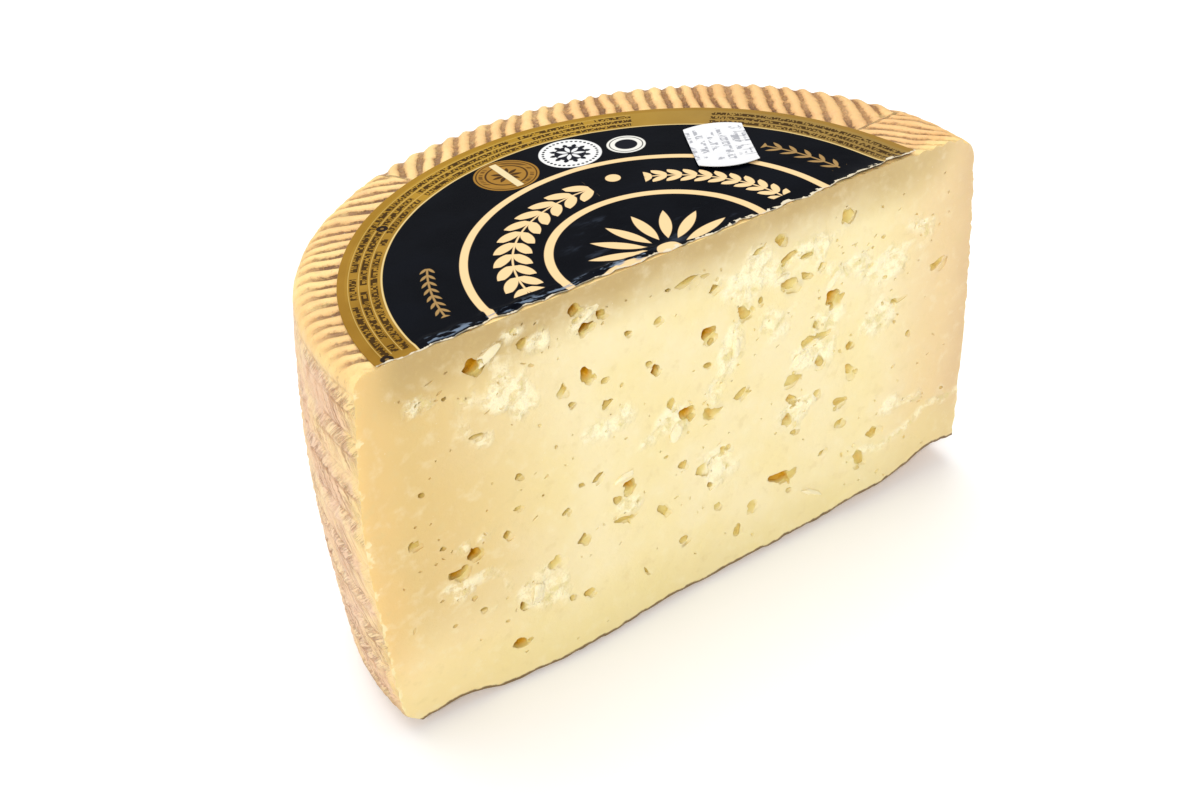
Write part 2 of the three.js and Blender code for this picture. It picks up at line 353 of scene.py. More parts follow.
def wheel_rings(angle):
    """Radius and height of each ring at each bearing, from the base's middle up to the top's"""
    shoulder = around(SHOULDER, angle)
    roll_width = around(BASE_ROLL_WIDTH, angle)
    roll_height = around(BASE_ROLL_HEIGHT, angle)
    wall_base = wall_radius(roll_height, angle)
    wall_top = wall_radius(WHEEL_HEIGHT - shoulder, angle)
    rings = []

    def add(radius, z):
        rings.append(np.broadcast_arrays(radius, z, angle)[:2])

    for part in np.arange(1, UNDER_ROWS) / UNDER_ROWS:
        add((wall_base - roll_width) * part, 0)
    for bend in np.linspace(0, math.pi / 2, ROLL_ROWS + 1):
        add(wall_base - roll_width * (1 - math.sin(bend)), roll_height * (1 - math.cos(bend)))
    for part in np.arange(1, WALL_ROWS) / WALL_ROWS:
        z = roll_height + (WHEEL_HEIGHT - shoulder - roll_height) * part
        add(wall_radius(z, angle), z)
    for bend in np.linspace(math.pi / 2, 0, SHOULDER_ROWS + 1):
        z = WHEEL_HEIGHT - shoulder * (1 - math.cos(bend))
        add(wall_top - shoulder * (1 - math.sin(bend)), z)
    for part in np.arange(1, RIB_ROWS + 1) / RIB_ROWS:
        radius = wall_top - shoulder
        add(radius + (SEAT_RADIUS - radius) * part, WHEEL_HEIGHT)
    for part in np.arange(1, SEAT_ROWS) / SEAT_ROWS:
        add(SEAT_RADIUS * (1 - part), WHEEL_HEIGHT)
    return np.array(rings, float).transpose(1, 0, 2)


def bearing_of(x, y):
    angle = np.arctan2((y - CENTRE_Y) / OVAL, x)
    return np.where(angle < -TURN / 4, angle + TURN, angle)


def rib_pattern(x, y, turn=0):
    """The ribs' phase and how strongly they are pressed in, with the sectors turned by degrees"""
    bearing = np.degrees(bearing_of(x, y)) + rind_noise(x, y, 0, 9)
    reach = np.hypot(x, (y - CENTRE_Y) / OVAL)
    phase = np.zeros_like(x)
    seam = np.zeros_like(x)
    for order, sector in enumerate(SECTORS):
        along = math.radians(sector["along"] + turn)
        aside = (y - CENTRE_Y) * math.cos(along) - x * math.sin(along)
        aside = aside + sector["wander"] * rind_noise(x, y, 20 * order, 11, 2)
        inside = (bearing > sector["start"] + turn) & (bearing <= sector["end"] + turn)
        phase = np.where(inside, aside / sector["pitch"], phase)
        beside = np.radians(np.abs(bearing - sector["start"] - turn)) * reach
        seam = np.maximum(seam, 1 - smooth(beside, 0, SEAM_WIDTH))
    worn = np.clip(0.85 + 0.4 * rind_noise(x, y, 40, 12, 2), 0.25, 1)
    return phase, worn * (1 - 0.8 * seam)


def rib_crests(x, y, turn=0):
    phase, strength = rib_pattern(x, y, turn)
    wave = 0.5 + 0.5 * np.cos(TURN * phase)
    return 1 - strength * (1 - wave ** RIB_NARROW)


def plait_place(x, y, z):
    """Place on the plait, along the wall in millimetres and upward in bands"""
    along = bearing_of(x, y) * WHEEL_WIDTH / 2
    level = (z + 1.2 * rind_noise(along, z, 60, 18)) / PLAIT_BAND
    return along + 0.8 * rind_noise(along, z, 80, 11, 2), level


def plait_crests(x, y, z):
    """How high the plait's strands stand on the wall, from 0 to 1"""
    along, level = plait_place(x, y, z)
    band = np.floor(level)
    part = level - band
    slant = np.where(band % 2 == 0, 1, -1)
    run = along + slant * (part - 0.5) * PLAIT_BAND * STRAND_SLOPE
    strands = (0.5 + 0.5 * np.cos(TURN * run / STRAND_PITCH)) ** 0.6
    edge = smooth(np.minimum(part, 1 - part), 0.0, 0.12)
    worn = np.clip(0.55 + 0.6 * rind_noise(along, z, 100, 20, 3), 0.1, 1)
    return 1 - worn * (1 - strands * edge)


def rib_fade(x, y):
    """1 on the flat top, down to 0 at its rim where the ribs end before the shoulder"""
    fade = around(RIB_FADE, bearing_of(x, y))
    inward = WHEEL_WIDTH / 2 - TOP_INSET - np.hypot(x, (y - CENTRE_Y) / OVAL)
    return smooth(inward, 0.1 * fade, fade)


def imprint_depth(x, y, z):
    """How deep the mould's imprint is pressed into the rind"""
    angle = bearing_of(x, y)
    shoulder = around(SHOULDER, angle)
    roll_height = around(BASE_ROLL_HEIGHT, angle)
    drop = around(RIB_DROP, angle)
    down = WHEEL_HEIGHT - z
    from_label = np.hypot(x - LABEL_CENTRE[0], y - LABEL_CENTRE[1]) - LABEL_RADIUS
    top = (1 - smooth(down, 0.45 * drop, drop)) * smooth(from_label, -1.5, 0) * (z > WIDEST_AT)
    top = top * rib_fade(x, y)
    base = (1 - smooth(z, 0.4 * roll_height, roll_height)) * (z < WIDEST_AT)
    wall = (
        smooth(z, 0.6 * roll_height, roll_height + 3)
        * smooth(down, 0.8 * shoulder, shoulder + 4)
    )
    ribs = top * (1 - rib_crests(x, y)) + base * (1 - rib_crests(x, y, UNDER_TURN))
    return RIB_RELIEF * ribs + PLAIT_RELIEF * wall * (1 - plait_crests(x, y, z))


def edge_lift(x, y):
    """How far the rind is off the ground beside the cut, where the knife left it ragged"""
    height = np.interp(x, *zip(*EDGE_LIFT))
    height = height + 0.4 * cut_noise(x, 70, 0, 6) + 0.3 * cut_noise(x, 75, 0, 2)
    return np.maximum(height, 0.15) * (1 - (y - CUT_Y) / EDGE_DEPTH)


def face_relief(x, z):
    """How far the cut lies behind its plane"""
    lie = 0.35 * cut_noise(x, 0, z, 45)
    lumps = 0.12 * cut_noise(x, 10, z, 6, 2)
    drag = 0.07 * cut_noise((x + 0.5 * z) / 7, 20, (z - 0.5 * x), 1.9)
    torn = torn_mask(x, z) * (1.2 * np.abs(cut_noise(x, 30, z, 4.4, 3)) - 0.3)
    proud = 0.7 * smooth(x, LEDGE_FROM, LEDGE_FROM + 10) * smooth(above_ledge(x, z), 0.4, -0.4)
    middle, half_width, height, out = BULGE
    bulge = out * np.exp(-((x - middle) / half_width) ** 2) * (1 - smooth(z, 0, height))
    return lie + lumps + drag + torn - proud - bulge


def above_ledge(x, z):
    return z - LEDGE_HEIGHT - 0.14 * (x - LEDGE_FROM) + 2.2 * cut_noise(x, 90, 0, 9, 3)


def torn_mask(x, z):
    """1 in the middle of a torn patch, fading to 0 at its ragged edge"""
    mask = np.zeros_like(x)
    ragged = 0.75 * cut_noise(x, 50, z, 5.5, 3)
    for place_x, place_z, half_width, half_height in TORN:
        away = np.hypot((x - place_x) / half_width, (z - place_z) / half_height)
        mask = np.maximum(mask, 1 - smooth(away + ragged, 0.4, 1.0))
    return mask


# ---- the cheese

def wheel_solid():
    fine = np.arange(FINE_FROM, FINE_TO, FINE_STEP)
    coarse = np.linspace(FINE_TO, FINE_FROM + 360, COARSE_COLUMNS, endpoint=False)
    angle = np.radians(np.concatenate([fine, coarse]))
    radius, z = wheel_rings(angle)
    x = radius * np.cos(angle)
    y = CENTRE_Y + radius * np.sin(angle) * OVAL
    points = points_at(x, y, z)
    across = np.roll(points, -1, axis=1) - np.roll(points, 1, axis=1)
    upward = np.gradient(points, axis=0)
    normal = np.cross(across, upward)
    normal /= np.linalg.norm(normal, axis=-1, keepdims=True)
    depth = imprint_depth(x, y, z)
    from_label = np.hypot(x - LABEL_CENTRE[0], y - LABEL_CENTRE[1])
    bare = smooth(from_label, LABEL_RADIUS - 2, LABEL_RADIUS)
    bare = np.where(z > WHEEL_HEIGHT - 1, bare, smooth(z, 0, 4))
    depth = depth + bare * (0.25 * rind_noise(x, y, z, 17) + 0.10 * rind_noise(x, y, z, 3.5, 2))
    points = points - normal * depth[..., None]
    rows, columns, _ = points.shape
    low = rows * columns
    high = low + 1
    faces = grid_faces(rows, columns, closed=True)
    for column in range(columns):
        beside = (column + 1) % columns
        faces.append((low, beside, column))
        faces.append((high, low - columns + column, low - columns + beside))
    middles = [(0, CENTRE_Y, 0), (0, CENTRE_Y, WHEEL_HEIGHT)]
    return make_object("cheese_half_wheel", np.concatenate([points.reshape(-1, 3), middles]), faces)


def knife_solid():
    """All that the knife took away, with the surface that it left as its back"""
    x, z = np.meshgrid(
        np.arange(-WHEEL_WIDTH / 2 - 4, WHEEL_WIDTH / 2 + 5, CUT_STEP),
        np.arange(-4, WHEEL_HEIGHT + 5, CUT_STEP),
    )
    back = points_at(x, CUT_Y + face_relief(x, z), z)
    front = points_at(x, -WHEEL_WIDTH, z)
    return closed_sheet("knife", back, front, material_index=1)


def edge_gap():
    """What is missing under the cut's lower edge"""
    along = np.arange(-WHEEL_WIDTH / 2 - 5, WHEEL_WIDTH / 2 + 5, EDGE_STEP)
    x, part = np.meshgrid(along, np.linspace(0, 1, 7))
    y = CUT_Y - 6 + (EDGE_DEPTH + 7) * part
    return closed_sheet("edge_gap", points_at(x, y, edge_lift(x, y)), points_at(x, y, -3))


def ball(subdivisions):
    rig = bmesh.new()
    bmesh.ops.create_icosphere(rig, subdivisions=subdivisions, radius=1)
    points = np.array([vertex.co[:] for vertex in rig.verts])
    faces = [tuple(vertex.index for vertex in face.verts) for face in rig.faces]
    rig.free()
    return points, faces


def nugget(shape, x, z, width, height, depth, chance, turn, out=0.22):
    """An angular lump, out of the cut's plane or into it: a ball with flat facets taken off"""
    points, faces = shape
    normals = chance.normal(size=(NUGGET_FACETS, 3))
    normals /= np.linalg.norm(normals, axis=1, keepdims=True)
    facets = chance.uniform(0.55, 0.95, NUGGET_FACETS) / np.maximum(points @ normals.T, 0.05)
    shift = chance.uniform(0, 30)
    size = np.minimum(facets.min(axis=1), 1.15) * (1 + 0.16 * cut_noise(*points.T + shift, 0.5, 2))
    wide = points[:, 0] * size * width * 0.58
    tall = points[:, 2] * size * height * 0.58
    place_x = x + wide * math.cos(turn) - tall * math.sin(turn)
    place_z = z + wide * math.sin(turn) + tall * math.cos(turn)
    surface_y = CUT_Y + face_relief(np.float64(x), np.float64(z))
    place_y = surface_y + depth * out + points[:, 1] * size * depth
    return points_at(place_x, place_y, place_z), faces


def hollows():
    """Every hollow in the cut: place, the radius that it needs, and its shape"""
    chance = np.random.default_rng(21)
    balls = ball(SMALL_BALL), ball(LARGE_BALL)
    found = []

    def open_up(large, x, z, width, height, depth, turn):
        lump = nugget(balls[large], x, z, width, height, depth, chance, turn)
        found.append((x, z, max(width, height), lump))

    for eyes, deepest in ((DEEP_EYES, DEEP_EYES_DEPTH), (EYES, EYES_DEPTH)):
        for eye in eyes:
            open_eye(open_up, chance, deepest, *eye)
    for order in range(PITS):
        open_pit(open_up, chance, order)
    return found


def open_eye(open_up, chance, deepest, x, z, width, height):
    """An eye, with a second lobe if it is middling and a third if it is large"""
    turn = chance.uniform(-0.3, 0.5)
    depth = min(0.7 + 0.5 * min(width, height), deepest)
    side_x = chance.uniform(0.05, 0.2) * width
    side_z = chance.uniform(0.05, 0.2) * height
    middle = (0.9 * width, 0.9 * height, depth)
    open_up(width * height > 8, x - side_x, z + side_z, *middle, turn)
    if max(width, height) > 2.2:
        lobe = (0.9 * width, 0.8 * height, 0.3 * depth)
        open_up(width * height > 18, x + side_x, z - side_z, *lobe, turn + 0.4)
    if max(width, height) > 4.2:
        side = chance.uniform(0, TURN)
        lobe_x = x + math.cos(side) * width * 0.5
        lobe_z = z + math.sin(side) * height * 0.5
        open_up(False, lobe_x, lobe_z, 0.4 * width, 0.45 * height, 0.5 * depth, side)


def open_pit(open_up, chance, order):
    """A pit anywhere in the cut, or every other time in a torn patch or beside it"""
    x = WHEEL_WIDTH * 0.46 * chance.uniform(-1, 1)
    z = chance.uniform(5, WHEEL_HEIGHT - 7)
    if order % 2:
        patch = TORN[order % len(TORN)]
        x, z = np.array(patch[:2]) + np.array(patch[2:]) * chance.normal(0, 0.7, 2)
    width, height = np.minimum(0.5 + chance.exponential(0.45, 2), 2.4)
    depth = 0.25 + 0.25 * min(width, height)
    open_up(False, x, z, width, 0.8 * height, depth, chance.normal(0.7, 0.4))


def shared_out(name, lumps):
    """The lumps as few meshes, such that no two lumps of one mesh touch"""
    groups = []
    for x, z, reach, shape in lumps:
        for group in groups:
            if all(math.hypot(x - a, z - b) > (reach + r) * 0.75 + 0.3 for a, b, r, _ in group):
                group.append((x, z, reach, shape))
                break
        else:
            groups.append([(x, z, reach, shape)])
    meshes = []
    for group in groups:
        points, faces, first = [], [], 0
        for _, _, _, (places, triangles) in group:
            points.append(places)
            faces += [tuple(first + corner for corner in triangle) for triangle in triangles]
            first += len(places)
        meshes.append(make_object(name, np.concatenate(points), faces, material_index=1))
    return meshes


def flakes():
    chance = np.random.default_rng(22)
    shape = ball(LARGE_BALL)
    found = []
    for x, z, length, width, turn in FLAKES:
        lump = nugget(shape, x, z, length, width, 1.0, chance, math.radians(turn), out=0.0)
        found.append((x, z, length, lump))
    return found


def flake_mask(x, z):
    mask = np.zeros_like(x)
    for flake_x, flake_z, length, width, turn in FLAKES:
        cosine, sine = math.cos(math.radians(turn)), math.sin(math.radians(turn))
        along = (x - flake_x) * cosine + (z - flake_z) * sine
        aside = (z - flake_z) * cosine - (x - flake_x) * sine
        away = np.hypot(along / length, aside / width) * 1.8
        mask = np.maximum(mask, 1 - smooth(away, 0.9, 1.25))
    return mask


def base_height(reach, angle):
    """Height of the rolled edge of the base at a distance from the wheel's centre"""
    roll_width = around(BASE_ROLL_WIDTH, angle)
    roll_height = around(BASE_ROLL_HEIGHT, angle)
    part = 1 - (wall_radius(roll_height, angle) - reach) / roll_width
    return roll_height * (1 - np.sqrt(1 - np.clip(part, 0, 1) ** 2))


def cheese_piece(materials):
    cheese = wheel_solid()
    knife = knife_solid()
    cuts = [edge_gap(), *shared_out("hollows", hollows())]
    lumps = shared_out("flakes", flakes())
    for shape in (cheese, knife, *cuts, *lumps):
        for material in materials:
            shape.data.materials.append(material)
    combine(cheese, "DIFFERENCE", [knife])
    combine(cheese, "UNION", lumps)
    combine(cheese, "DIFFERENCE", cuts)
    drop_crumbs(cheese.data)
    store_places(cheese.data)
    shade_smooth(cheese.data, CHEESE_SHARP)
    return cheese


def store_places(mesh):
    """Stores where each point lies and how the imprint runs there, for the materials"""
    x, y, z = vertex_places(mesh)
    angle = bearing_of(x, y)
    reach = np.hypot(x, (y - CENTRE_Y) / OVAL)
    shoulder = around(SHOULDER, angle)
    ledge = np.exp(-(above_ledge(x, z) / 0.9) ** 2) * smooth(x, LEDGE_FROM, LEDGE_FROM + 10)
    roll_height = around(BASE_ROLL_HEIGHT, angle)
    above = z > WIDEST_AT
    patterns = zip(rib_pattern(x, y), rib_pattern(x, y, UNDER_TURN))
    phase, strength = (np.where(above, *pair) for pair in patterns)
    strength = strength * np.where(above, rib_fade(x, y), 1)
    along, level = plait_place(x, y, z)
    wall = smooth(WHEEL_HEIGHT - z, 0.5 * shoulder, shoulder + 3)
    wall = wall * smooth(z, 0.4 * roll_height, roll_height + 2)
    store(
        mesh,
        deep=np.clip(y - CUT_Y - face_relief(x, z), 0, 4),
        torn=np.maximum(torn_mask(x, z), ledge),
        flake=flake_mask(x, z),
        from_wall=wall_radius(z, angle) - reach,
        from_base=z - np.maximum(base_height(reach, angle), edge_lift(x, y)),
        from_cut=y - CUT_Y,
        rib_phase=phase,
        rib_strength=strength,
        plait_along=along,
        plait_level=level,
        wall=wall,
    )


# ---- the label and the sticker

def thin_sheet(name, x, y, base, thickness):
    """A sheet of one thickness, from the places of a grid of points and their heights"""
    sheet = closed_sheet(name, points_at(x, y, base + thickness), points_at(x, y, base))
    shade_smooth(sheet.data, PAPER_SHARP)
    return sheet


def label_piece():
    """The half disc, finer towards the cut, where it is ragged, crumpled and curls up"""
    columns, rows = LABEL_GRID
    corner = math.radians(0.8)
    turn = np.linspace(corner, math.pi - corner, columns)
    part = np.linspace(0, 1, rows)[:, None] ** 1.4
    x = LABEL_CENTRE[0] + LABEL_RADIUS * np.cos(turn) * np.ones_like(part)
    ragged = 0.45 * label_noise(x, 0, 0, 5, 3) + 0.3 * label_noise(x, 0, 9, 1.3)
    edge = CUT_Y + CUT_CLEARANCE + ragged
    y = edge + (LABEL_CENTRE[1] + LABEL_RADIUS * np.sin(turn) - edge) * part
    inward = y - edge
    crumple = np.exp(-((inward - 2.2) / 1.3) ** 2) * smooth(-x, -2, 12) * smooth(x, -78, -66)
    height = 0.12 * label_noise(x, y, 0, 26) + 0.05 * label_noise(x, y, 5, 7, 2)
    height = height + crumple * (0.45 + 0.5 * label_noise(x, y, 9, 4.5, 2))
    lifted = smooth(x, 36, 52) * (0.7 + 0.5 * label_noise(x, 0, 25, 8))
    curl = np.exp(-inward / 0.8) * (0.1 + 0.25 * label_noise(x, 0, 15, 3.5, 2))
    curl = np.maximum(curl, -0.1) + lifted * np.exp(-inward / 3.5)
    base = WHEEL_HEIGHT + CUT_CLEARANCE + np.maximum(height, -0.05) + curl
    label = thin_sheet("label_half_disc", x, y, base, LABEL_THICKNESS)
    store(label.data, from_cut=np.tile(inward.reshape(-1), 2))
    return label


def sticker_piece():
    """The sticker, with bowed ends that lift a little"""
    width, side = STICKER_SIZE
    u, v = np.meshgrid(*(np.linspace(-1, 1, count) for count in STICKER_GRID))
    x = u * width / 2
    y = v * (side / 2 + STICKER_BOW * (1 - u ** 2))
    lift = 0.25 * smooth(np.abs(v), 0.7, 1.0) ** 2 + 0.12 * label_noise(x, y, 30, 9)
    cosine, sine = math.cos(STICKER_TURN), math.sin(STICKER_TURN)
    place_x = STICKER_CENTRE[0] + x * cosine - y * sine
    place_y = STICKER_CENTRE[1] + x * sine + y * cosine
    base = WHEEL_HEIGHT + STICKER_CLEARANCE + np.maximum(lift, 0)
    return thin_sheet("price_sticker", place_x, place_y, base, STICKER_THICKNESS)


# ---- materials

def linear(value):
    value = value / 255
    return value / 12.92 if value <= 0.04 else ((value + 0.055) / 1.055) ** 2.4


def rgb(red, green, blue):
    """A screen colour, from 0 to 255, as the shader's linear values"""
    return (linear(red), linear(green), linear(blue), 1)


def either(*masks):
    return functools.reduce(Value.larger, masks)


def operation(name, swapped=False):
    """A method that puts values into a node for numbers"""
    def apply(*values):
        return values[0].graph.math(name, *(reversed(values) if swapped else values))

    return apply


class Value:
    """An output of a node, with which sums are written as with numbers"""

    def __init__(self, graph, socket):
        self.graph = graph
        self.socket = socket

    __add__ = operation("ADD")
    __sub__ = operation("SUBTRACT")
    __rsub__ = operation("SUBTRACT", swapped=True)
    __mul__ = operation("MULTIPLY")
    __truediv__ = operation("DIVIDE")
    __abs__ = operation("ABSOLUTE")
    whole = operation("FLOOR")
    part = operation("FRACT")
    above = operation("GREATER_THAN")
    cosine = operation("COSINE")
    larger = operation("MAXIMUM")

    def step(self, low, high, start=0, end=1):
        """One value up to low and another from high on, and smooth in between"""
        inputs = [self, low, high, start, end]
        return self.graph.node("MapRange", inputs, interpolation_type="SMOOTHSTEP")

    def below(self, limit):
        return self.step(limit + PRINT_SOFT, limit - PRINT_SOFT)

    def between(self, low, high):
        return abs(self - (low + high) / 2).below((high - low) / 2)


class Graph:
    """A material and short calls for its nodes"""

    def __init__(self, name, **surface):
        self.material = bpy.data.materials.new(name)
        self.material.use_nodes = True
        self.tree = self.material.node_tree
        self.shader = self.tree.nodes["Principled BSDF"]
        self.set(**surface)
        # the place on the object, in millimetres
        self.place = self.stretched(self.node("TexCoord", output="Object"), (1 / MM,) * 3)

    def put(self, socket, value):
        if isinstance(value, Value):
            self.tree.links.new(value.socket, socket)
        else:
            socket.default_value = value

    def outputs(self, kind, inputs=(), **settings):
        node = self.tree.nodes.new("ShaderNode" + kind)
        for name, value in settings.items():
            setattr(node, name, value)
        pairs = inputs.items() if isinstance(inputs, dict) else enumerate(inputs)
        for key, value in pairs:
            self.put(node.inputs[key], value)
        return node.outputs

    def node(self, kind, inputs=(), output=0, **settings):
        return Value(self, self.outputs(kind, inputs, **settings)[output])

    def math(self, operation, *values):
        return self.node("Math", values, operation=operation)

    def value(self, name):
        return self.node("Attribute", output="Fac", attribute_name=name)

    def stretched(self, place, scale):
        return self.node("VectorMath", [place, scale], operation="MULTIPLY")

    def parts(self, place):
        return [Value(self, part) for part in self.outputs("SeparateXYZ", [place])]

    def joined(self, *parts):
        return self.node("CombineXYZ", parts)

    def apart(self, place, other):
        return self.node("VectorMath", [place, other], "Value", operation="DISTANCE")

    def noise(self, size, detail=2, roughness=0.5, place=None):
        spot = place or self.place
        inputs = {"Vector": spot, "Scale": 1 / size, "Detail": detail, "Roughness": roughness}
        return self.node("TexNoise", inputs)

    def mix(self, factor, first, second):
        return self.node("MixRGB", [factor, first, second])

    def bump(self, height, distance, strength):
        inputs = {"Height": height, "Distance": distance * MM, "Strength": strength}
        return self.node("Bump", inputs)

    def ground(self, mask, first, second):
        """Begins with two screen colours, mixed by a mask"""
        self.colour = self.mix(mask, rgb(*first), rgb(*second))

    def tint(self, mask, colour):
        """Lays a colour over what is there, as far as a mask says"""
        self.colour = self.mix(mask, self.colour, rgb(*colour))

    def wash(self, value, low, high, strength, colour):
        """Lays a colour over what is there, from none at low to its full strength at high"""
        self.tint(value.step(low, high, 0, strength), colour)

    def set(self, **surface):
        for name, value in surface.items():
            self.put(self.shader.inputs[name.replace("_", " ")], value)

    def finish(self, **surface):
        self.set(Base_Color=self.colour, **surface)
        return self.material


# ---- the rind and the paste

def paint_ribs(graph, patches, uneven, grain):
    """Paints the ribbed top, and gives a mask of its grooves"""
    from_wall = graph.value("from_wall")
    strength = graph.value("rib_strength")
    wave = (graph.value("rib_phase") * TURN).cosine() + uneven * 1.3
    groove = (
        wave.step(-0.3, -0.95)
        * grain.step(0.3, 0.55, 0.45, 1)
        * strength
        * from_wall.step(1, 7, 0.3, 1)
    )
    slope = wave.step(0.75, -0.5)
    outer = graph.mix(patches.step(0.4, 0.62), rgb(236, 206, 136), rgb(229, 191, 126))
    inner = graph.mix(patches.step(0.38, 0.6), rgb(238, 202, 136), rgb(232, 188, 124))
    graph.colour = graph.mix(from_wall.step(3, 14), outer, inner)
    to_right = graph.parts(graph.place)[0].step(40, 62, 0, 0.6)
    graph.tint(to_right, (222, 172, 112))
    # The ribs' slopes are painted darker: painted shade, with the rind's own browner tone there
    graph.tint(slope * strength * 0.7, (202, 152, 94))
    blotch = slope * graph.noise(1.6, 4, 0.7).step(0.52, 0.66) * from_wall.step(1, 8, 0.45, 0.65)
    graph.tint(blotch, (160, 108, 58))
    # The grooves are painted dark brown, darkest near the label: partly the rind's own brown in them,
    # partly painted shade
    graph.tint(groove * 0.85, (134, 88, 46))
    to_label = graph.apart(graph.place, (*LABEL_CENTRE, WHEEL_HEIGHT))
    near_label = to_label.step(LABEL_RADIUS + 9, LABEL_RADIUS + 2)
    graph.tint(groove * near_label * 0.85, (96, 58, 26))
    return groove


def paint_plait(graph, patches, mottle, uneven):
    """Paints the plaited wall, and gives a mask of its lines"""
    level = graph.value("plait_level")
    part = level.part() - 0.5
    turned = (level * 0.5).part() - 0.5
    slant = graph.math("SIGN", turned) * part
    run = graph.value("plait_along") + slant * (-PLAIT_BAND * STRAND_SLOPE)
    fibre_place = graph.joined(run * 6.0, level * PLAIT_BAND, 0.0)
    fibres = graph.noise(5.0, 3, 0.55, fibre_place)
    strand = (run * (TURN / STRAND_PITCH)).cosine()
    gap = (strand + uneven).step(-0.6, -1.1)
    joint = abs(part).step(0.38, 0.5)
    worn = graph.noise(12, 3).step(0.4, 0.6, 0.25, 1)
    fine_lines = fibres.step(0.52, 0.4) * worn
    pressed = either(gap, joint) * worn
    graph.ground(patches.step(0.42, 0.6), (230, 192, 154), (238, 206, 150))
    graph.wash(mottle, 0.42, 0.62, 0.4, (220, 174, 136))
    yellow = graph.noise(26, 2).step(0.46, 0.62, 0, 0.6)
    graph.tint(yellow, (238, 200, 136))
    graph.tint(fine_lines * 0.5, (176, 120, 76))
    graph.tint(pressed * 0.6, (174, 116, 70))
    return fine_lines + pressed


def rind_material():
    graph = Graph("rind", Subsurface_Weight=0.06, Subsurface_Scale=0.0015, Specular_IOR_Level=0.4)
    patches = graph.noise(16, 3)
    mottle = graph.noise(3.0, 5, 0.65)
    grain = graph.noise(0.8, 3, 0.6)
    blush = graph.noise(7, 4, 0.6)
    uneven = (mottle - 0.5) * 1.8
    groove = paint_ribs(graph, patches, uneven, grain)
    ribs = graph.colour
    lines = paint_plait(graph, patches, mottle, uneven)
    wall = graph.value("wall")
    graph.colour = graph.mix(wall, ribs, graph.colour)
    graph.wash(blush, 0.56, 0.72, 0.3, (200, 150, 108))
    graph.wash(blush, 0.42, 0.28, 0.45, (236, 210, 142))
    graph.wash(grain, 0.62, 0.8, 0.4, (242, 224, 188))
    graph.wash(grain, 0.36, 0.24, 0.4, (170, 120, 76))
    beside_cut = graph.value("from_cut") + blush * -12.0
    graph.wash(beside_cut, -1, -5, 0.85, (238, 206, 138))
    graph.wash(graph.value("from_base"), 3, 0, 0.5, (164, 116, 70))
    fine = mottle * 0.5 + grain * 0.3
    pressed = graph.mix(wall, groove * -0.8, lines * -0.6)
    height = fine + pressed
    rough = mottle.step(0.3, 0.7, 0.42, 0.6)
    return graph.finish(Roughness=rough, Normal=graph.bump(height, 0.5, 0.9))


def paint_paste(graph, x, z, clouds):
    """Cream in the middle, and darker beside the rind and under the top"""
    drift = (clouds - 0.5) * 16
    from_top = WHEEL_HEIGHT - z + drift
    from_base = graph.value("from_base") + drift
    to_wall = graph.value("from_wall")
    from_wall = to_wall + drift
    graph.ground(clouds.step(0.35, 0.65), (235, 218, 163), (236, 221, 175))
    left = x.step(-26, -84) * z.step(8, 45, 0.25, 0.9)
    graph.tint(left, (214, 182, 117))
    graph.wash(x, 55, 86, 0.8, (224, 193, 141))
    beside = graph.mix(x.step(-30, 30), rgb(229, 192, 126), rgb(209, 178, 134))
    graph.colour = graph.mix(from_wall.step(12, 0, 0, 0.75), graph.colour, beside)
    skin = to_wall.step(3.5, 0.5, 0, 0.7) * x.step(20, -20)
    graph.tint(skin, (232, 196, 128))
    corner = z.step(34, 8) * x.step(-50, -82, 0, 0.8)
    graph.tint(corner, (246, 220, 166))
    shade = from_top.step(17, 1, 0, 0.95) * x.step(88, 50, 0.6, 1) * to_wall.step(2, 12, 0.1, 1)
    graph.tint(shade, (187, 159, 104))
    graph.wash(from_base, 22, 4, 0.5, (224, 206, 142))


def paint_torn(graph, lumps, ridges):
    """Paler ridges and flakes where the knife tore the paste, with duller hollows between them; the paler
    tops are partly painted highlight, the duller hollows painted shade
    """
    torn = graph.value("torn")
    # Pale tops of the torn lumps: the torn paste's paler crumbs with painted highlight
    high = (lumps + ridges * 0.5).step(0.66, 0.82, 0.2, 0.8)
    graph.tint(torn * high, (250, 240, 202))
    # Painted shade in the hollows between the torn lumps
    hollow = torn * lumps.step(0.44, 0.32, 0, 0.5)
    graph.tint(hollow, (218, 203, 132))
    flake = graph.value("flake").step(0.3, 0.7, 0, 0.85)
    graph.tint(flake, (240, 228, 190))


